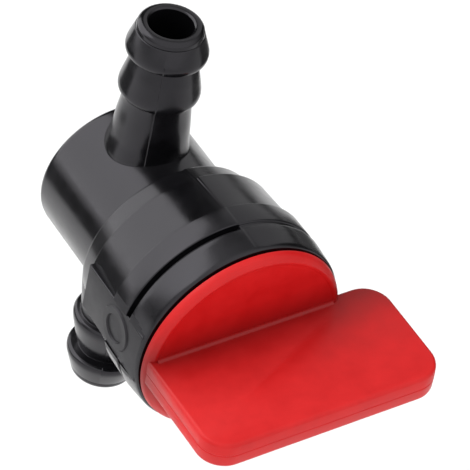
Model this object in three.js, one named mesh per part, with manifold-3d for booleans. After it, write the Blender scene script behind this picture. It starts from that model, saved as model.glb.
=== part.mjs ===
// In-line quarter-turn fuel shut-off valve with two hose barbs and a paddle knob.
// Millimetres. The flow axis is Z, the spindle axis is Y and the knob faces -Y.
// The origin is the crossing of the two axes. The knob is closed: paddle across the flow.
import * as THREE from "three";
import { mergeVertices } from "three/addons/utils/BufferGeometryUtils.js";
import Module from "manifold-3d";

const wasm = await Module();
wasm.setup();

// Hose barbs
const INLET_TIP_Z = 22.25;
const OUTLET_TIP_Z = -23.55;
const PORT_R = 2.15;
const RIDGE_R = 4.0;
const STEM_BASE_R = 4.15;

// Rear barrel
const BARREL_R = 8.0;
const BARREL_REAR_Y = 5.0;
const SPINDLE_BORE_R = 5.3;
const SPINDLE_BORE_END_Y = 3.3;

// Stepped housing
const HOUSING_REAR_Y = -6.4;
const STEP_A_Y = -8.7;
const STEP_B_Y = -13.9;
const GROOVE_Y = -16.4;
const GROOVE_WIDTH = 0.55;
const RIM_Y = -19.9;
const RIM_R = 10.88;
const COUNTERBORE_R = 9.0;
const COUNTERBORE_FLOOR_Y = -8.9;
const SNAP_GROOVE_R = 9.65;
const SNAP_GROOVE_Y = -14.9;
const PAD_X = 10.65;
const PAD_HALF_HEIGHT = 2.85;
const PAD_REAR_Y = -8.9;
const MARK_Y = -15.1;
const MARK_R = 2.3;
const MARK_WIDTH = 0.95;
const MARK_RISE = 0.18;

// Knob and paddle
const KNOB_TURN_DEG = 3.5;
const DISC_R = 10.6;
const DISC_FRONT_Y = -21.16;
const DISC_BACK_Y = -20.2;
const WEB_BACK_Y = -19.0;
const SKIRT_R = 8.7;
const SKIRT_WALL = 1.3;
const SKIRT_END_Y = -13.2;
const BEAD_R = 9.3;
const BOSS_R = 4.6;
const BOSS_END_Y = -12.0;
const PADDLE_LEFT = -10.38;
const PADDLE_RIGHT = 15.0;
const PADDLE_FRONT_Y = -33.1;
const PADDLE_BACK_Y = -20.2;
const PADDLE_THICKNESS = 3.0;
const PADDLE_EDGE = 0.35;
const PADDLE_FILLET = 0.9;

// Spindle, seals and stops
const GAP = 0.3;
const SPINDLE_R = 4.95;
const SPINDLE_END_Y = 3.0;
const COLLAR_R = 7.8;
const COLLAR_BACK_Y = -10.0;
const COLLAR_FRONT_Y = -11.4;
const TANG = 4.6;
const TANG_END_Y = -17.2;
const SEAL_YS = [-4.4, -7.0];
const SEAL_TUBE_R = 0.4;
const SEAL_CENTRE_R = 4.6;
const SEAT_OUTER_R = 3.0;
const SEAT_INNER_R = 2.3;
const SEAT_END = 6.3;
const STOP_RIB_R = 8.15;
const STOP_RIB_Y = -11.2;
const LUG_R = 8.7;
const LUG_DEG = 28;
const LUG_CENTRE_DEG = 200;
const STOP_PLAY_DEG = 2.5;

function solid(geometry) {
  const copy = geometry.clone();
  copy.deleteAttribute("normal");
  copy.deleteAttribute("uv");
  const merged = mergeVertices(copy, 1e-4);
  return new wasm.Manifold(new wasm.Mesh({
    numProp: 3,
    vertProperties: new Float32Array(merged.attributes.position.array),
    triVerts: new Uint32Array(merged.index.array),
  }));
}

function piece(name, body, colour, roughness) {
  const mesh = body.getMesh();
  const geometry = new THREE.BufferGeometry();
  geometry.setAttribute("position", new THREE.BufferAttribute(new Float32Array(mesh.vertProperties), 3));
  geometry.setIndex(new THREE.BufferAttribute(new Uint32Array(mesh.triVerts), 1));
  geometry.computeVertexNormals();
  const material = new THREE.MeshStandardMaterial({ color: colour, roughness, metalness: 0 });
  const result = new THREE.Mesh(geometry, material);
  result.name = name;
  return result;
}

// A solid of revolution about Y from [radius, y] points listed with rising y.
function revolve(points, segments) {
  return solid(new THREE.LatheGeometry(points.map(([r, y]) => new THREE.Vector2(r, y)), segments));
}

// A plain cylinder along Y between two heights.
function rod(radius, y0, y1, segments) {
  const geometry = new THREE.CylinderGeometry(radius, radius, Math.abs(y1 - y0), segments);
  geometry.translate(0, (y0 + y1) / 2, 0);
  return solid(geometry);
}

function ringSolid(inner, outer, y0, y1, segments) {
  return rod(outer, y0, y1, segments).subtract(rod(inner, y0 - 1, y1 + 1, segments));
}

function box(x0, x1, y0, y1, z0, z1) {
  const geometry = new THREE.BoxGeometry(x1 - x0, y1 - y0, z1 - z0);
  geometry.translate((x0 + x1) / 2, (y0 + y1) / 2, (z0 + z1) / 2);
  return solid(geometry);
}

// A slice of pie about Y, used to keep or remove part of a ring.
function sector(startDeg, sweepDeg, radius, y0, y1) {
  const steps = Math.max(2, Math.ceil(sweepDeg / 10));
  const outline = [new THREE.Vector2(0, 0)];
  for (let i = 0; i <= steps; i += 1) {
    const angle = THREE.MathUtils.degToRad(startDeg + (sweepDeg * i) / steps);
    outline.push(new THREE.Vector2(radius * Math.cos(angle), radius * Math.sin(angle)));
  }
  const geometry = new THREE.ExtrudeGeometry(new THREE.Shape(outline), {
    depth: Math.abs(y1 - y0),
    bevelEnabled: false,
  });
  geometry.rotateX(Math.PI / 2);
  geometry.translate(0, Math.max(y0, y1), 0);
  return solid(geometry);
}

// One hose barb and its stem on the flow axis. The profile is [distance from the tip, radius].
function barb(tip, direction) {
  const profile = [
    [0.0, 2.8], [0.1, 3.02], [0.35, 3.22], [0.8, 3.32], [1.6, 3.56], [2.3, 3.8], [2.8, 3.95],
    [3.1, RIDGE_R], [3.45, 3.9], [3.6, 3.6], [3.62, 2.8], [5.2, 3.3], [6.3, 3.62], [7.2, 3.88],
    [7.7, RIDGE_R], [8.05, RIDGE_R], [8.4, 3.88], [8.52, 3.6], [8.54, 3.3], [10.2, 3.45], [13.5, 3.88],
    [Math.abs(tip) - 7.0, STEM_BASE_R], [Math.abs(tip) - 6.0, STEM_BASE_R],
  ];
  const points = [[0, Math.abs(tip)]];
  for (const [distance, radius] of profile) {
    points.push([radius, Math.abs(tip) - distance]);
  }
  points.push([0, 6.0]);
  points.reverse();
  return revolve(points, 40).rotate([direction * 90, 0, 0]);
}

function housing() {
  const groove = GROOVE_Y - GROOVE_WIDTH;
  const points = [
    [0, RIM_Y], [RIM_R - 0.15, RIM_Y], [RIM_R, RIM_Y + 0.12], [RIM_R - 0.02, RIM_Y + 0.5],
    [10.7, RIM_Y + 0.6], [11.0, groove], [10.4, groove], [10.4, GROOVE_Y], [11.02, GROOVE_Y],
    [11.02, STEP_B_Y], [10.75, STEP_B_Y + 0.05], [10.22, STEP_A_Y], [9.86, STEP_A_Y + 0.05],
    [9.45, HOUSING_REAR_Y - 0.15], [9.32, HOUSING_REAR_Y], [BARREL_R, HOUSING_REAR_Y + 0.02],
    [BARREL_R, BARREL_REAR_Y - 0.3], [BARREL_R - 0.3, BARREL_REAR_Y], [0, BARREL_REAR_Y],
  ];
  return revolve(points, 64);
}

function sidePad() {
  const pad = box(-PAD_X, PAD_X, RIM_Y, PAD_REAR_Y, -PAD_HALF_HEIGHT, PAD_HALF_HEIGHT);
  const mark = ringSolid(MARK_R - MARK_WIDTH, MARK_R, PAD_X - 0.5, PAD_X + MARK_RISE, 32);
  return pad.add(mark.rotate([0, 0, 90]).translate([0, MARK_Y, 0]));
}

function stopRib() {
  const free = 90 + LUG_DEG + 2 * STOP_PLAY_DEG;
  const start = LUG_CENTRE_DEG - LUG_DEG / 2 - STOP_PLAY_DEG;
  const ring = ringSolid(STOP_RIB_R, COUNTERBORE_R + 0.3, STOP_RIB_Y, COUNTERBORE_FLOOR_Y + 0.3, 48);
  return ring.subtract(sector(start, free, 12, STOP_RIB_Y - 1, COUNTERBORE_FLOOR_Y + 0.01));
}

function valveBody() {
  const limit = box(-PAD_X - MARK_RISE, PAD_X, -30, 30, -30, 30);
  const crest = box(-20, -PAD_X, -30, 30, -PAD_HALF_HEIGHT, PAD_HALF_HEIGHT);
  let body = housing().subtract(crest).intersect(limit);
  body = body.add(sidePad().intersect(limit));
  body = body.add(barb(INLET_TIP_Z, 1)).add(barb(OUTLET_TIP_Z, -1));
  body = body.subtract(rod(SPINDLE_BORE_R, COUNTERBORE_FLOOR_Y - 0.1, SPINDLE_BORE_END_Y, 40));
  body = body.subtract(rod(COUNTERBORE_R, RIM_Y - 1, COUNTERBORE_FLOOR_Y, 48));
  body = body.subtract(rod(SNAP_GROOVE_R, SNAP_GROOVE_Y - 0.8, SNAP_GROOVE_Y + 0.8, 48));
  body = body.subtract(rod(PORT_R, OUTLET_TIP_Z - 1, INLET_TIP_Z + 1, 32).rotate([90, 0, 0]));
  const pocket = rod(SEAT_OUTER_R + GAP, -SEAT_END - GAP, SEAT_END + GAP, 32).rotate([90, 0, 0]);
  return body.subtract(pocket).add(stopRib());
}

function portSeat(side) {
  const ring = ringSolid(SEAT_INNER_R, SEAT_OUTER_R, side * SEAT_END, side * 3, 32).rotate([90, 0, 0]);
  return ring.subtract(rod(SPINDLE_R + GAP, -6, 6, 40));
}

function sealRing(y) {
  const steps = 8;
  const points = [];
  for (let i = 0; i <= steps; i += 1) {
    const angle = (2 * Math.PI * (i % steps)) / steps;
    points.push([SEAL_CENTRE_R + SEAL_TUBE_R * Math.cos(angle), y + SEAL_TUBE_R * Math.sin(angle)]);
  }
  return revolve(points, 32);
}

function spindle() {
  let body = rod(SPINDLE_R, COLLAR_BACK_Y - 0.1, SPINDLE_END_Y, 40);
  body = body.add(rod(COLLAR_R, COLLAR_FRONT_Y, COLLAR_BACK_Y, 48));
  const lug = ringSolid(COLLAR_R - 1, LUG_R, COLLAR_FRONT_Y, COLLAR_BACK_Y, 48);
  body = body.add(lug.intersect(sector(LUG_CENTRE_DEG - LUG_DEG / 2, LUG_DEG, 12, -12, -9)));
  body = body.add(box(-TANG / 2, TANG / 2, TANG_END_Y, COLLAR_FRONT_Y + 0.2, -TANG / 2, TANG / 2));
  for (const y of SEAL_YS) {
    const half = SEAL_TUBE_R + GAP;
    body = body.subtract(ringSolid(SEAL_CENTRE_R - half, SPINDLE_R + 1, y - half, y + half, 32));
  }
  return body.subtract(rod(PORT_R, -8, 8, 32).rotate([0, 0, 90]));
}

function paddle() {
  const corner = 2.6;
  const inset = PADDLE_EDGE;
  const left = PADDLE_LEFT + inset;
  const right = PADDLE_RIGHT - inset;
  const front = PADDLE_FRONT_Y + inset;
  const back = PADDLE_BACK_Y - inset;
  const outline = new THREE.Shape();
  outline.moveTo(left, back);
  outline.lineTo(left, front + corner);
  outline.absarc(left + corner, front + corner, corner, Math.PI, 1.5 * Math.PI, false);
  outline.lineTo(right - corner, front);
  outline.absarc(right - corner, front + corner, corner, 1.5 * Math.PI, 2 * Math.PI, false);
  outline.lineTo(right, back - corner);
  outline.absarc(right - corner, back - corner, corner, 0, 0.5 * Math.PI, false);
  outline.closePath();
  const depth = PADDLE_THICKNESS - 2 * PADDLE_EDGE;
  const geometry = new THREE.ExtrudeGeometry(outline, {
    depth,
    bevelThickness: PADDLE_EDGE,
    bevelSize: PADDLE_EDGE,
    bevelSegments: 2,
    curveSegments: 7,
  });
  geometry.translate(0, 0, -depth / 2);
  return solid(geometry);
}

// Concave fillets where the paddle meets the disc, both sides.
function paddleFillets() {
  const half = PADDLE_THICKNESS / 2;
  const steps = 5;
  const reach = 9.6;
  const outline = [new THREE.Vector2(-half, DISC_FRONT_Y + 0.3), new THREE.Vector2(half, DISC_FRONT_Y + 0.3)];
  const arc = [];
  for (let i = 0; i <= steps; i += 1) {
    const angle = (0.5 * Math.PI * i) / steps;
    const out = half + PADDLE_FILLET * (1 - Math.sin(angle));
    arc.push(new THREE.Vector2(out, DISC_FRONT_Y - PADDLE_FILLET * (1 - Math.cos(angle))));
  }
  outline.splice(1, 1, new THREE.Vector2(half + PADDLE_FILLET, DISC_FRONT_Y + 0.3), ...arc);
  for (const point of [...arc].reverse()) {
    outline.push(new THREE.Vector2(-point.x, point.y));
  }
  outline.shift();
  outline.push(new THREE.Vector2(-half - PADDLE_FILLET, DISC_FRONT_Y + 0.3));
  const geometry = new THREE.ExtrudeGeometry(new THREE.Shape(outline), { depth: 2 * reach, bevelEnabled: false });
  geometry.translate(0, 0, -reach);
  geometry.rotateY(Math.PI / 2);
  return solid(geometry).intersect(rod(DISC_R - 0.9, -24, DISC_FRONT_Y + 0.3, 64));
}

function knob() {
  const points = [
    [0, DISC_FRONT_Y], [9.8, DISC_FRONT_Y], [10.18, DISC_FRONT_Y + 0.12], [10.48, DISC_FRONT_Y + 0.4],
    [DISC_R, DISC_FRONT_Y + 0.75], [DISC_R, DISC_BACK_Y], [SKIRT_R, DISC_BACK_Y + 0.02], [SKIRT_R, SNAP_GROOVE_Y - 0.45],
    [BEAD_R, SNAP_GROOVE_Y - 0.15], [BEAD_R, SNAP_GROOVE_Y + 0.15], [SKIRT_R, SNAP_GROOVE_Y + 0.45],
    [SKIRT_R, SKIRT_END_Y - 0.2], [SKIRT_R - 0.3, SKIRT_END_Y], [SKIRT_R - SKIRT_WALL, SKIRT_END_Y],
    [SKIRT_R - SKIRT_WALL, WEB_BACK_Y], [BOSS_R, WEB_BACK_Y + 0.02], [BOSS_R, BOSS_END_Y], [0, BOSS_END_Y],
  ];
  const socket = TANG / 2 + GAP;
  const body = revolve(points, 64).add(paddle()).add(paddleFillets());
  return body.subtract(box(-socket, socket, TANG_END_Y - GAP, BOSS_END_Y + 1, -socket, socket));
}

const part = new THREE.Group();
part.name = "fuel_shutoff_valve";

const BLACK = 0x17181b;
const RED = 0xc5161a;
const IVORY = 0xd9d4c6;
const RUBBER = 0x1d1d1d;

const turn = [0, -KNOB_TURN_DEG, 0];
part.add(piece("valve_body", valveBody(), BLACK, 0.35));
part.add(piece("knob", knob().rotate(turn), RED, 0.4));
part.add(piece("spindle", spindle().rotate(turn), IVORY, 0.5));
part.add(piece("thrust_washer", ringSolid(5.6, 7.9, -9.7, -9.2, 32), IVORY, 0.6));
part.add(piece("spindle_seal_inner", sealRing(SEAL_YS[0]), RUBBER, 0.8));
part.add(piece("spindle_seal_outer", sealRing(SEAL_YS[1]), RUBBER, 0.8));
part.add(piece("inlet_seat", portSeat(1), RUBBER, 0.8));
part.add(piece("outlet_seat", portSeat(-1), RUBBER, 0.8));

export default part;
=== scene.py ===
# In-line fuel shut-off valve: black moulded body with two hose barbs, red paddle knob.
# Shapes are in millimetres and are scaled to metres when a mesh is made.
import math

import bmesh
import bpy
from mathutils import Matrix, Vector


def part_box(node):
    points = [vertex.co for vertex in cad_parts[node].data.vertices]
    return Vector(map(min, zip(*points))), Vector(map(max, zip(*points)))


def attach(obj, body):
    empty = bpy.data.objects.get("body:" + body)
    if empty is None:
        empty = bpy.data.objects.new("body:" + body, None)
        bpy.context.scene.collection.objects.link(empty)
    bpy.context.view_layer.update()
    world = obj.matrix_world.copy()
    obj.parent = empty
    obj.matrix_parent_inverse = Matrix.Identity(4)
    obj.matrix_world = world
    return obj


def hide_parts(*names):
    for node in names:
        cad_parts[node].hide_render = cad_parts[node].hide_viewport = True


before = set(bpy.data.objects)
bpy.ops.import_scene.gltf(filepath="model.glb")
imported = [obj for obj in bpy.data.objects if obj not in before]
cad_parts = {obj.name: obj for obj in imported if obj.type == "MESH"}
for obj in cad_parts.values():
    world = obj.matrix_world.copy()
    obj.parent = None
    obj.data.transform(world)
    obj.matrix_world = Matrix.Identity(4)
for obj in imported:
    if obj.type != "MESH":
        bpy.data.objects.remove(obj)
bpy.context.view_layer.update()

MM = 0.001

# ---------------------------------------------------------------- dimensions
# Outer limits come from the CAD part's boxes, so the finer mouldings keep its size.
body_low, body_high = (Vector(v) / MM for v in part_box("valve_body"))
knob_low, knob_high = (Vector(v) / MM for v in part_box("knob"))
INLET_TIP = body_high.z
OUTLET_TIP = body_low.z
REAR_Y = body_high.y
RIM_Y = body_low.y
PAD_X = body_high.x
PADDLE_FRONT = knob_low.y
PORT_R = 2.2
BARREL_R = 8.0
BORE_R = 5.3
BORE_END = 3.3
COUNTERBORE_R = 9.0
COUNTERBORE_FLOOR = -8.9
SNAP_GROOVE_R = 9.65
RIM_R = 10.88
PAD_REAR = -9.0
PAD_FRONT = -19.5
PAD_SINK = 0.18
PAD_HALF_REAR = 2.65
PAD_HALF_FRONT = 2.9
MARK_Y = -15.1
MARK_R = 2.3
MARK_INNER_R = 1.4
MARK_RISE = 0.18
KNOB_TURN = math.radians(3.5)
SEAM_WIDTH = 0.35  # degrees
BARB_SEAMS = (56.0, 236.0)  # degrees
DISC_R = 10.6
DISC_FRONT = -21.16
DISC_BACK = -20.15
PADDLE_LEFT = -10.38
PADDLE_RIGHT = 15.0
PADDLE_BACK = -20.2
PADDLE_HALF = 1.5
PADDLE_CORNER = 2.8
ROOT_FILLET_R = 0.35
ROOT_FILLET_REACH = 9.55
ROOT_SHADE_REACH = 7.0
SKIRT_R = 8.7
BOSS_R = 4.6
SOCKET = 2.6

# Studio, in metres and degrees.
FLOOR_Z = -0.085
FLOOR_SIZE = 6.0
SOFTBOX_DISTANCE = 0.6
CARD_DISTANCE = 0.18
WORLD_DARK = 0.04
WORLD_BRIGHT = 1.1
CAMERA_AZIMUTH = -39.26
CAMERA_ELEVATION = 41.97
CAMERA_ROLL = math.radians(-13.2)
CAMERA_TARGET = Vector((0.00736, -0.00714, -0.00097))
CAMERA_DISTANCE = 0.3301
CAMERA_LENS = 260.05


# ---------------------------------------------------------------- mesh helpers
def add_object(name, data):
    obj = bpy.data.objects.new(name, data)
    bpy.context.scene.collection.objects.link(obj)
    return obj


def mesh_object(name, verts, faces):
    mesh = bpy.data.meshes.new(name)
    mesh.from_pydata([tuple(c * MM for c in v) for v in verts], [], faces)
    mesh.validate()
    obj = add_object(name, mesh)
    work = bmesh.new()
    work.from_mesh(mesh)
    bmesh.ops.remove_doubles(work, verts=work.verts, dist=1e-7)
    bmesh.ops.recalc_face_normals(work, faces=work.faces)
    work.to_mesh(mesh)
    work.free()
    return obj


def fillet(points, steps=4):
    """Rounds the corners of an open (a, b, radius) polyline and returns (a, b) points."""
    out = []
    for i, (a, b, radius) in enumerate(points):
        here = Vector((a, b))
        if radius == 0 or i in (0, len(points) - 1):
            out.extend([(a, b)] * (1 if radius == 0 else steps + 1))
            continue
        before = Vector(points[i - 1][:2]) - here
        after = Vector(points[i + 1][:2]) - here
        reach_a = min(radius, before.length * 0.48)
        reach_b = min(radius, after.length * 0.48)
        start = here + before.normalized() * reach_a
        end = here + after.normalized() * reach_b
        for k in range(steps + 1):
            t = k / steps
            p = start * (1 - t) ** 2 + here * 2 * t * (1 - t) + end * t * t
            out.append((p.x, p.y))
    return out


def ring_angles(count, seams):
    """Even angles in radians, with extra ones close to each seam, which is in degrees."""
    angles = set(round(360.0 * i / count, 4) for i in range(count))
    for centre in seams:
        for offset in (-1.2, -0.6, -0.25, 0.0, 0.25, 0.6, 1.2):
            angles.add(round((centre + offset) % 360.0, 4))
    return [math.radians(a) for a in sorted(angles)]


def side_blend(angle, seams):
    """0 between the two seams, which are in degrees, and 1 beyond them, with a short ramp."""
    degrees = math.degrees(angle) % 360.0
    inside = min(degrees - seams[0], seams[1] - degrees)
    return min(1.0, max(0.0, 0.5 - inside / (2 * SEAM_WIDTH)))


def revolve(name, left, right, axis, count, seams=(90.0, 270.0), closed=False):
    """Turns a profile of (radius, height) about an axis. The two halves of the mould may differ."""
    angles = ring_angles(count, seams)
    verts, faces, rings = [], [], []
    for (r_left, h_left), (r_right, h_right) in zip(left, right):
        pole = r_left < 1e-6 and r_right < 1e-6
        ring = []
        for angle in angles[:1] if pole else angles:
            mix = side_blend(angle, seams)
            radius = r_left * (1 - mix) + r_right * mix
            height = h_left * (1 - mix) + h_right * mix
            across, along = radius * math.cos(angle), radius * math.sin(angle)
            ring.append(len(verts))
            verts.append((across, height, along) if axis == "Y" else (across, along, height))
        rings.append(ring)
    pairs = list(zip(rings, rings[1:]))
    if closed:
        pairs.append((rings[-1], rings[0]))
    for low, high in pairs:
        for k in range(len(angles)):
            n = (k + 1) % len(angles)
            if len(low) == 1 and len(high) == 1:
                continue
            if len(low) == 1:
                faces.append((low[0], high[k], high[n]))
            elif len(high) == 1:
                faces.append((low[k], low[n], high[0]))
            else:
                faces.append((low[k], low[n], high[n], high[k]))
    return mesh_object(name, verts, faces)


def cylinder(name, radius, start, end, axis):
    profile = [(0, start), (radius, start), (radius, end), (0, end)]
    return revolve(name, profile, profile, axis, 96, seams=(0.0, 180.0))


def boolean(target, other, operation):
    """Adds or cuts away another object, which is used up."""
    modifier = target.modifiers.new("cut", "BOOLEAN")
    modifier.operation = operation
    modifier.solver = "EXACT"
    modifier.object = other
    graph = bpy.context.evaluated_depsgraph_get()
    mesh = bpy.data.meshes.new_from_object(target.evaluated_get(graph))
    target.modifiers.clear()
    old = target.data
    target.data = mesh
    bpy.data.meshes.remove(old)
    tool = other.data
    bpy.data.objects.remove(other)
    bpy.data.meshes.remove(tool)
    return target


def bevelled_box(name, low, high, edge):
    work = bmesh.new()
    bmesh.ops.create_cube(work, size=1.0)
    low, high = Vector(low) * MM, Vector(high) * MM
    for vert in work.verts:
        vert.co = Vector((low[i] + (vert.co[i] + 0.5) * (high[i] - low[i]) for i in range(3)))
    bmesh.ops.bevel(work, geom=work.edges[:], offset=edge * MM, segments=3, profile=0.5,
                    affect="EDGES")
    mesh = bpy.data.meshes.new(name)
    work.to_mesh(mesh)
    work.free()
    return add_object(name, mesh)


def layered_plate(name, outline, layers):
    """A closed plate: the outline is inset by layers of (inset, height) and capped."""
    verts, faces, rings = [], [], []
    total = len(outline)
    centre = Vector((sum(p[0] for p in outline) / total, sum(p[1] for p in outline) / total))
    normals = []
    for i in range(total):
        ahead = Vector(outline[(i + 1) % total]) - Vector(outline[i - 1])
        normal = Vector((ahead.y, -ahead.x)).normalized()
        if normal.dot(Vector(outline[i]) - centre) > 0:
            normal.negate()
        normals.append(normal)
    for inset, height in layers:
        ring = []
        for point, normal in zip(outline, normals):
            ring.append(len(verts))
            verts.append((point[0] + normal.x * inset, point[1] + normal.y * inset, height))
        rings.append(ring)
    for low, high in zip(rings, rings[1:]):
        for k in range(total):
            n = (k + 1) % total
            faces.append((low[k], low[n], high[n], high[k]))
    faces.append(tuple(rings[0]))
    faces.append(tuple(rings[-1]))
    return mesh_object(name, verts, faces)


def smooth(obj, degrees=32.0):
    """Smooth shading with sharp edges above the angle."""
    mesh = obj.data
    mesh.polygons.foreach_set("use_smooth", [True] * len(mesh.polygons))
    mesh.set_sharp_from_angle(angle=math.radians(degrees))
    mesh.update()
    return obj


# ---------------------------------------------------------------- materials
def new_material(name):
    material = bpy.data.materials.new(name)
    material.use_nodes = True
    nodes = material.node_tree.nodes
    nodes.clear()
    output = nodes.new("ShaderNodeOutputMaterial")
    shader = nodes.new("ShaderNodeBsdfPrincipled")
    material.node_tree.links.new(shader.outputs["BSDF"], output.inputs["Surface"])
    return material, nodes, material.node_tree.links, shader


def noise(nodes, links, scale, detail=4.0, roughness=0.55, stretch=(1.0, 1.0, 1.0)):
    place = nodes.new("ShaderNodeTexCoord")
    mapping = nodes.new("ShaderNodeMapping")
    mapping.inputs["Scale"].default_value = stretch
    links.new(place.outputs["Object"], mapping.inputs["Vector"])
    texture = nodes.new("ShaderNodeTexNoise")
    texture.inputs["Scale"].default_value = scale
    texture.inputs["Detail"].default_value = detail
    texture.inputs["Roughness"].default_value = roughness
    links.new(mapping.outputs["Vector"], texture.inputs["Vector"])
    return texture


def ramp(nodes, links, source, stops):
    node = nodes.new("ShaderNodeValToRGB")
    node.color_ramp.elements[0].position, node.color_ramp.elements[0].color = stops[0]
    node.color_ramp.elements[1].position, node.color_ramp.elements[1].color = stops[-1]
    for position, colour in stops[1:-1]:
        element = node.color_ramp.elements.new(position)
        element.color = colour
    links.new(source, node.inputs["Fac"])
    return node.outputs["Color"]


def span(nodes, links, source, low, high):
    node = nodes.new("ShaderNodeMapRange")
    node.inputs["From Min"].default_value = 0.3
    node.inputs["From Max"].default_value = 0.7
    node.inputs["To Min"].default_value = low
    node.inputs["To Max"].default_value = high
    links.new(source, node.inputs["Value"])
    return node.outputs["Result"]


def bump(nodes, links, source, strength, distance, before=None):
    node = nodes.new("ShaderNodeBump")
    node.inputs["Strength"].default_value = strength
    node.inputs["Distance"].default_value = distance
    links.new(source, node.inputs["Height"])
    if before is not None:
        links.new(before, node.inputs["Normal"])
    return node.outputs["Normal"]


def moulded_plastic(name, dark, light, rough, grain, specular=0.5, glow=0.0,
                    glow_radius=(1.0, 0.3, 0.3), tint=(1.0, 1.0, 1.0)):
    """Clouded colour and gloss, fine grain, and faint flow lines. glow is the light let in."""
    material, nodes, links, shader = new_material(name)
    cloud = noise(nodes, links, 420.0, 5.0, 0.6)
    fine = noise(nodes, links, 9000.0, 3.0, 0.5)
    flow = noise(nodes, links, 160.0, 3.0, 0.5, (1.0, 0.25, 1.0))
    links.new(ramp(nodes, links, cloud.outputs["Fac"],
                   [(0.3, (*dark, 1.0)), (0.7, (*light, 1.0))]),
              shader.inputs["Base Color"])
    links.new(span(nodes, links, cloud.outputs["Fac"], *rough), shader.inputs["Roughness"])
    first = bump(nodes, links, fine.outputs["Fac"], grain, 0.00004)
    both = bump(nodes, links, flow.outputs["Fac"], 0.12, 0.00025, first)
    links.new(both, shader.inputs["Normal"])
    shader.inputs["Specular IOR Level"].default_value = specular
    shader.inputs["Specular Tint"].default_value = (*tint, 1.0)
    shader.inputs["IOR"].default_value = 1.5
    shader.inputs["Subsurface Weight"].default_value = glow
    shader.inputs["Subsurface Radius"].default_value = glow_radius
    shader.inputs["Subsurface Scale"].default_value = 0.0012
    return material


def rubber_material():
    material, nodes, links, shader = new_material("seal_rubber")
    speck = noise(nodes, links, 2600.0, 4.0, 0.7)
    links.new(ramp(nodes, links, speck.outputs["Fac"],
                   [(0.3, (0.012, 0.012, 0.013, 1.0)), (0.7, (0.035, 0.035, 0.037, 1.0))]),
              shader.inputs["Base Color"])
    links.new(span(nodes, links, speck.outputs["Fac"], 0.62, 0.85), shader.inputs["Roughness"])
    links.new(bump(nodes, links, speck.outputs["Fac"], 0.3, 0.00005), shader.inputs["Normal"])
    shader.inputs["Sheen Weight"].default_value = 0.15
    return material


def arithmetic(nodes, links, operation, source, value=None):
    """A math node on a source and, where given, a number or a second source."""
    node = nodes.new("ShaderNodeMath")
    node.operation = operation
    links.new(source, node.inputs[0])
    if isinstance(value, float):
        node.inputs[1].default_value = value
    elif value is not None:
        links.new(value, node.inputs[1])
    return node.outputs["Value"]


def paint_root_shade(material):
    """Painted shade: deepens the red towards the corner between disc and paddle, in knob
    coordinates. The painted shade also falls on the paddle's rear edge beyond the disc.
    """
    nodes, links = material.node_tree.nodes, material.node_tree.links
    shader = nodes["Principled BSDF"]
    base = shader.inputs["Base Color"].links[0].from_socket
    place = nodes.new("ShaderNodeTexCoord")
    split = nodes.new("ShaderNodeSeparateXYZ")
    links.new(place.outputs["Object"], split.inputs["Vector"])
    height = nodes.new("ShaderNodeVectorMath")
    height.operation = "DOT_PRODUCT"
    height.inputs[1].default_value = (-math.sin(KNOB_TURN), 0.0, math.cos(KNOB_TURN))
    links.new(place.outputs["Object"], height.inputs[0])
    from_middle = arithmetic(nodes, links, "ABSOLUTE", height.outputs["Value"])
    forward = arithmetic(nodes, links, "MULTIPLY", split.outputs["Y"], -1.0)
    past = []
    for distance, offset in ((from_middle, PADDLE_HALF), (forward, -DISC_FRONT)):
        rest = arithmetic(nodes, links, "SUBTRACT", distance, offset * MM)
        past.append(arithmetic(nodes, links, "MAXIMUM", rest, 0.0))
    reach = nodes.new("ShaderNodeMapRange")
    reach.inputs["From Max"].default_value = ROOT_SHADE_REACH * MM
    links.new(arithmetic(nodes, links, "ADD", past[0], past[1]), reach.inputs["Value"])
    # Painted shade: these multipliers darken the red close to the paddle's root.
    shade = ramp(nodes, links, reach.outputs["Result"],
                 [(0.0, (0.42, 0.35, 0.35, 1.0)), (0.2, (0.60, 0.5, 0.5, 1.0)),
                  (0.5, (0.84, 0.75, 0.75, 1.0)), (1.0, (1.0, 1.0, 1.0, 1.0))])
    mix = nodes.new("ShaderNodeMix")
    mix.data_type = "RGBA"
    mix.blend_type = "MULTIPLY"
    mix.inputs["Factor"].default_value = 1.0
    links.new(base, mix.inputs["A"])
    links.new(shade, mix.inputs["B"])
    links.new(mix.outputs["Result"], shader.inputs["Base Color"])


BLACK = ((0.0022, 0.0022, 0.0026), (0.0042, 0.0041, 0.0050))
COOL = (0.95, 0.92, 1.0)
black_plastic = moulded_plastic("body_black_plastic", *BLACK, (0.16, 0.26), 0.07, tint=COOL)
black_matt = moulded_plastic("body_black_matt", *BLACK, (0.42, 0.52), 0.12, tint=COOL)
red_plastic = moulded_plastic("knob_red_plastic", (0.62, 0.006, 0.007), (0.70, 0.010, 0.011),
                              (0.34, 0.46), 0.08, specular=0.32, glow=0.06)
# Painted shade: the knob's red is darkened near the paddle's root.
paint_root_shade(red_plastic)
acetal = moulded_plastic("spindle_acetal", (0.70, 0.66, 0.57), (0.80, 0.77, 0.70),
                         (0.38, 0.5), 0.08, glow=0.12, glow_radius=(1.0, 0.9, 0.7))
nylon = moulded_plastic("washer_nylon", (0.74, 0.71, 0.62), (0.82, 0.80, 0.73),
                        (0.45, 0.6), 0.12)
rubber = rubber_material()


def dress(obj, material):
    """Makes the material the object's only one."""
    obj.data.materials.clear()
    obj.data.materials.append(material)
    return obj


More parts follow.
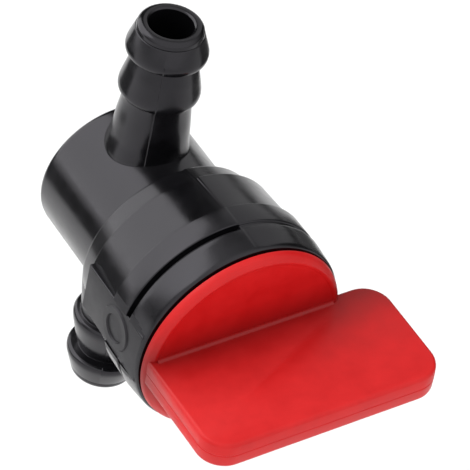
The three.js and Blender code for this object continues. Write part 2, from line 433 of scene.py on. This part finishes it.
# ---------------------------------------------------------------- valve body
def housing_profile(left):
    """Barrel, two stepped bands, groove and rim as (radius, y, corner radius).

    The mould halves are not quite the same, so the two sides differ.
    """
    rear, step, wide = (9.3, 10.15, 10.65) if left else (9.4, 10.33, 10.62)
    band, groove = (11.02, 10.35) if left else (10.98, 10.8)
    step_b = -13.9 if left else -13.82
    front = RIM_Y
    return fillet([
        (0, REAR_Y, 0), (BARREL_R, REAR_Y, 0.6), (BARREL_R, -6.38, 0.12), (rear, -6.4, 0.25),
        (rear + 0.42, -8.6, 0.08), (step, -8.7, 0.12), (wide, step_b + 0.1, 0.1),
        (band, step_b, 0.1), (band + 0.04, -16.3, 0.12), (groove, -16.4, 0.08),
        (groove, -16.88, 0.08), (band + 0.08, -16.98, 0.12), (band, -18.2, 0.8),
        (RIM_R, front + 0.25, 0.3), (RIM_R - 0.12, front, 0.15),
        (COUNTERBORE_R, front, 0.12), (COUNTERBORE_R, -15.7, 0), (SNAP_GROOVE_R, -15.7, 0),
        (SNAP_GROOVE_R, -14.1, 0), (COUNTERBORE_R, -14.1, 0), (COUNTERBORE_R, COUNTERBORE_FLOOR, 0),
        (BORE_R, COUNTERBORE_FLOOR, 0.2), (BORE_R, BORE_END, 0), (0, BORE_END, 0),
    ])


def barb_profile(tip, extra):
    """Tip, two saw-tooth ridges and a flared stem, as (radius, height).

    extra widens or narrows the outside a little, because the mould halves differ.
    """
    length = abs(tip)
    sign = 1.0 if tip > 0 else -1.0
    shape = [
        (0, 1.3, 0), (PORT_R - 0.06, 0.25, 0.1), (PORT_R + 0.12, 0.02, 0.12), (2.85, 0.0, 0.25),
        (3.2, 0.3, 0.25), (3.27, 0.74, 0), (3.2, 0.8, 0), (3.34, 0.86, 0.03), (3.93, 2.6, 0.4),
        (3.99, 2.98, 0.3), (3.9, 3.34, 0.15), (3.6, 3.46, 0.05), (2.85, 3.52, 0.08),
        (3.36, 4.9, 0), (3.68, 6.2, 0.5), (3.97, 7.4, 0.5), (3.96, 7.9, 0.3), (3.72, 8.22, 0.12),
        (3.3, 8.28, 0.08), (3.42, 9.9, 0.5), (3.6, 11.3, 0.5), (3.8, 13.5, 0.5),
        (4.14, length - 7.2, 0.4), (4.2, length - 6.0, 0), (0, length - 6.0, 0),
    ]
    points = []
    for radius, distance, turn in shape:
        wide = radius + (extra if 1.0 < distance < 14 and radius > 2 else 0.0)
        points.append((wide, sign * (length - distance), turn))
    return fillet(points)


def pad_block(side, depth, lift, edge):
    """Drafted block on one side of the housing. Its outer face lies lift mm beyond the pad."""
    work = bmesh.new()
    outer_rear = PAD_X - PAD_SINK + lift
    outer_front = PAD_X + lift
    corners = []
    for reach_rear, reach_front in ((depth, depth), (outer_rear, outer_front)):
        corners.extend([
            (reach_rear, PAD_REAR, -PAD_HALF_REAR), (reach_rear, PAD_REAR, PAD_HALF_REAR),
            (reach_front, PAD_FRONT, PAD_HALF_FRONT), (reach_front, PAD_FRONT, -PAD_HALF_FRONT),
        ])
    verts = [work.verts.new((side * x * MM, y * MM, z * MM)) for x, y, z in corners]
    for ring in ((0, 1, 2, 3), (4, 5, 6, 7), (0, 1, 5, 4), (1, 2, 6, 5), (2, 3, 7, 6),
                 (3, 0, 4, 7)):
        work.faces.new([verts[i] for i in ring])
    bmesh.ops.recalc_face_normals(work, faces=work.faces)
    if edge > 0:
        rim = [e for e in work.edges if all(abs(v.co.x) > depth * MM + 1e-5 for v in e.verts)]
        bmesh.ops.bevel(work, geom=rim, offset=edge * MM, segments=3, profile=0.5, affect="EDGES")
    mesh = bpy.data.meshes.new("pad_block")
    work.to_mesh(mesh)
    work.free()
    return add_object("pad_block", mesh)


def make_body():
    body = revolve("valve_moulding", housing_profile(True), housing_profile(False), "Y", 300)
    for side in (-1, 1):
        boolean(body, pad_block(side, PAD_X - 0.3, 1.2, 0), "DIFFERENCE")
        boolean(body, pad_block(side, 9.2, 0.0, 0.1), "UNION")
    for tip in (INLET_TIP, OUTLET_TIP):
        barb = revolve("barb", barb_profile(tip, -0.03), barb_profile(tip, 0.06), "Z", 128,
                       seams=BARB_SEAMS)
        boolean(body, barb, "UNION")
    boolean(body, cylinder("port", PORT_R, OUTLET_TIP - 1, INLET_TIP + 1, "Z"), "DIFFERENCE")
    return smooth(body)


def make_mark():
    """Raised round mark on the left pad."""
    rise = [
        (MARK_INNER_R, -0.25), (MARK_INNER_R, 0.0), (MARK_INNER_R + 0.1, MARK_RISE),
        (MARK_R - 0.1, MARK_RISE), (MARK_R, 0.0), (MARK_R, -0.25),
    ]
    ring = revolve("pad_mark", rise, rise, "Y", 96, closed=True)
    tilt = math.atan2(PAD_SINK, PAD_REAR - PAD_FRONT)
    surface = PAD_X - PAD_SINK * (MARK_Y - PAD_FRONT) / (PAD_REAR - PAD_FRONT)
    ring.data.transform(Matrix.Translation(Vector((-surface, MARK_Y, 0)) * MM)
                        @ Matrix.Rotation(math.radians(90) - tilt, 4, "Z"))
    return smooth(ring, 25.0)


def add_matt_pads(obj):
    """Gives the outer faces of the two side pads the duller finish."""
    obj.data.materials.append(black_matt)
    limit = (PAD_X - PAD_SINK - 0.03) * MM
    for polygon in obj.data.polygons:
        outside = abs(polygon.center.x) > limit and abs(polygon.normal.x) > 0.9
        if outside and polygon.center.y < PAD_REAR * MM:
            polygon.material_index = 1
    return obj


# ---------------------------------------------------------------- knob
def paddle_outline():
    """Seen along Z, with three round corners. The fourth is buried in the disc."""
    corners = [
        (PADDLE_LEFT, PADDLE_BACK, False), (PADDLE_LEFT, PADDLE_FRONT, True),
        (PADDLE_RIGHT, PADDLE_FRONT, True), (PADDLE_RIGHT, PADDLE_BACK, True),
    ]
    out = []
    for i, (x, y, rounded) in enumerate(corners):
        if not rounded:
            out.append((x, y))
            continue
        before = (Vector(corners[i - 1][:2]) - Vector((x, y))).normalized()
        after = (Vector(corners[(i + 1) % 4][:2]) - Vector((x, y))).normalized()
        centre = Vector((x, y)) + (before + after) * PADDLE_CORNER
        for k in range(13):
            turn = 0.5 * math.pi * k / 12
            point = (centre - after * PADDLE_CORNER * math.cos(turn)
                     - before * PADDLE_CORNER * math.sin(turn))
            out.append((point.x, point.y))
    return out


def paddle_layers():
    """Rounded edges and a shallow parting groove round the middle, as (inset, height)."""
    top = PADDLE_HALF
    return [
        (0.42, -top), (0.22, -top + 0.07), (0.09, -top + 0.2), (0.03, -top + 0.42), (0.0, -0.05),
        (0.05, 0.02), (0.05, 0.08), (0.0, 0.15), (0.03, top - 0.42), (0.09, top - 0.2),
        (0.22, top - 0.07), (0.42, top),
    ]


def make_root_fillet(side):
    """Concave strip along the paddle's root on one side."""
    radius, steps, reach = ROOT_FILLET_R, 5, ROOT_FILLET_REACH
    section = [(PADDLE_HALF - 0.3, DISC_FRONT + 0.4), (PADDLE_HALF + radius, DISC_FRONT + 0.4)]
    for k in range(steps + 1):
        turn = 0.5 * math.pi * k / steps
        section.append((PADDLE_HALF + radius * (1 - math.sin(turn)),
                        DISC_FRONT - radius * (1 - math.cos(turn))))
    section.append((PADDLE_HALF - 0.3, DISC_FRONT - radius))
    verts, faces = [], []
    for x in (-reach, reach):
        verts.extend((x, y, side * n) for n, y in section)
    total = len(section)
    faces.append(tuple(range(total)))
    faces.append(tuple(range(total, 2 * total)))
    for k in range(total):
        n = (k + 1) % total
        faces.append((k, n, total + n, total + k))
    return mesh_object("fillet", verts, faces)


def make_knob():
    profile = fillet([
        (0, DISC_FRONT + 0.05, 0), (9.66, DISC_FRONT + 0.05, 0.05), (9.74, DISC_FRONT, 0.05),
        (9.98, DISC_FRONT + 0.01, 0.1), (DISC_R - 0.12, DISC_FRONT + 0.4, 0.4),
        (DISC_R, DISC_FRONT + 0.85, 0.2), (DISC_R, DISC_BACK, 0.08),
        (SKIRT_R, DISC_BACK, 0), (SKIRT_R, -15.35, 0), (9.3, -15.05, 0.1), (9.3, -14.75, 0.1),
        (SKIRT_R, -14.45, 0), (SKIRT_R, -13.4, 0.1), (8.4, -13.2, 0), (7.4, -13.2, 0.1),
        (7.4, -19.0, 0.2), (BOSS_R, -19.0, 0.2), (BOSS_R, -12.0, 0.1), (0, -12.0, 0),
    ])
    knob = revolve("knob_moulding", profile, profile, "Y", 256, seams=(0.0, 180.0))
    plate = layered_plate("paddle", paddle_outline(), paddle_layers())
    boolean(knob, plate, "UNION")
    for side in (-1, 1):
        boolean(knob, make_root_fillet(side), "UNION")
    socket = bevelled_box("socket", (-SOCKET, -17.5, -SOCKET), (SOCKET, -11.0, SOCKET), 0.1)
    boolean(knob, socket, "DIFFERENCE")
    knob.data.transform(Matrix.Rotation(-KNOB_TURN, 4, "Y"))
    return smooth(knob)


# ---------------------------------------------------------------- pieces and the bodies they ride
body = add_matt_pads(dress(make_body(), black_plastic))
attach(body, "valve")
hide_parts("valve_body")

mark = dress(make_mark(), black_matt)
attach(mark, "valve")

knob = dress(make_knob(), red_plastic)
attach(knob, "handle")
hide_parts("knob")

dress(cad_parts["spindle"], acetal)
dress(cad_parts["thrust_washer"], nylon)
for node in ("spindle_seal_inner", "spindle_seal_outer", "inlet_seat", "outlet_seat"):
    dress(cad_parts[node], rubber)


# ---------------------------------------------------------------- floor, light, camera
def plane(name, width, height):
    x, y = width / 2, height / 2
    mesh = bpy.data.meshes.new(name)
    mesh.from_pydata([(-x, -y, 0), (x, -y, 0), (x, y, 0), (-x, y, 0)], [], [(0, 1, 2, 3)])
    return add_object(name, mesh)


def matt_grey(name, scale, dark, light, roughness):
    """A grey that scatters light and reflects nothing."""
    material, nodes, links, shader = new_material(name)
    cloud = noise(nodes, links, scale, 2.0)
    links.new(ramp(nodes, links, cloud.outputs["Fac"],
                   [(0.3, (dark, dark, dark, 1.0)), (0.7, (light, light, light, 1.0))]),
              shader.inputs["Base Color"])
    shader.inputs["Roughness"].default_value = roughness
    shader.inputs["Specular IOR Level"].default_value = 0.0
    return material


def make_floor():
    floor = plane("floor", FLOOR_SIZE, FLOOR_SIZE)
    floor.location.z = FLOOR_Z
    floor.data.materials.append(matt_grey("pale_floor", 14.0, 0.93, 0.95, 0.9))


def direction(azimuth, elevation):
    """Unit vector for degrees of azimuth, 0 towards -Y and 90 towards +X, and elevation."""
    turn, rise = math.radians(azimuth), math.radians(elevation)
    level = math.cos(rise)
    return Vector((math.sin(turn) * level, -math.cos(turn) * level, math.sin(rise)))


def softbox(name, azimuth, elevation, size, radiance):
    """A rectangular area light that faces the origin."""
    data = bpy.data.lights.new(name, "AREA")
    data.shape = "RECTANGLE"
    data.size, data.size_y = size
    data.energy = radiance * math.pi * size[0] * size[1]
    light = add_object(name, data)
    way = direction(azimuth, elevation)
    light.location = way * SOFTBOX_DISTANCE
    light.rotation_euler = (-way).to_track_quat("-Z", "Y").to_euler()
    light.visible_camera = False


def make_camera():
    back = direction(CAMERA_AZIMUTH, CAMERA_ELEVATION)
    turn = math.radians(CAMERA_AZIMUTH)
    right = Vector((math.cos(turn), math.sin(turn), 0.0))
    up = back.cross(right)
    cos, sin = math.cos(CAMERA_ROLL), math.sin(CAMERA_ROLL)
    rolled_right = right * cos - up * sin
    rolled_up = right * sin + up * cos
    data = bpy.data.cameras.new("camera")
    data.lens = CAMERA_LENS
    data.sensor_width = 36.0
    data.clip_start, data.clip_end = 0.01, 20.0
    camera = add_object("camera", data)
    axes = Matrix((rolled_right, rolled_up, back)).transposed().to_4x4()
    camera.matrix_world = Matrix.Translation(CAMERA_TARGET + back * CAMERA_DISTANCE) @ axes
    bpy.context.scene.camera = camera


def make_world():
    """Dark behind the valve and pale in front of it, as in a half open light tent."""
    world = bpy.data.worlds.new("studio")
    bpy.context.scene.world = world
    world.use_nodes = True
    nodes, links = world.node_tree.nodes, world.node_tree.links
    background = nodes["Background"]
    place = nodes.new("ShaderNodeTexCoord")
    product = nodes.new("ShaderNodeVectorMath")
    product.operation = "DOT_PRODUCT"
    product.inputs[1].default_value = direction(-20.0, 45.0)
    links.new(place.outputs["Generated"], product.inputs[0])
    spread = nodes.new("ShaderNodeMapRange")
    spread.interpolation_type = "SMOOTHSTEP"
    spread.inputs["From Min"].default_value = -0.15
    spread.inputs["From Max"].default_value = 0.75
    spread.inputs["To Min"].default_value = WORLD_DARK
    spread.inputs["To Max"].default_value = WORLD_BRIGHT
    links.new(product.outputs["Value"], spread.inputs["Value"])
    background.inputs["Color"].default_value = (1.0, 1.0, 1.0, 1.0)
    links.new(spread.outputs["Result"], background.inputs["Strength"])


def dark_card(name, azimuth, elevation, size):
    """A dark flag that faces the origin and is seen only in reflections."""
    card = plane(name, *size)
    way = direction(azimuth, elevation)
    card.location = way * CARD_DISTANCE
    card.rotation_euler = (-way).to_track_quat("Z", "Y").to_euler()
    card.visible_camera = False
    card.visible_diffuse = False
    card.visible_shadow = False
    card.data.materials.append(matt_grey(name + "_cloth", 300.0, 0.10, 0.13, 0.95))


make_floor()
make_world()
make_camera()
softbox("back_left_softbox", -147.0, 30.0, (0.72, 0.80), 2.2)
softbox("back_right_softbox", 132.0, 28.0, (0.30, 0.46), 0.65)
dark_card("left_flag", -142.0, -26.0, (0.16, 0.12))
dark_card("right_flag", 95.0, -18.0, (0.18, 0.11))

bpy.context.scene.view_settings.view_transform = "Standard"
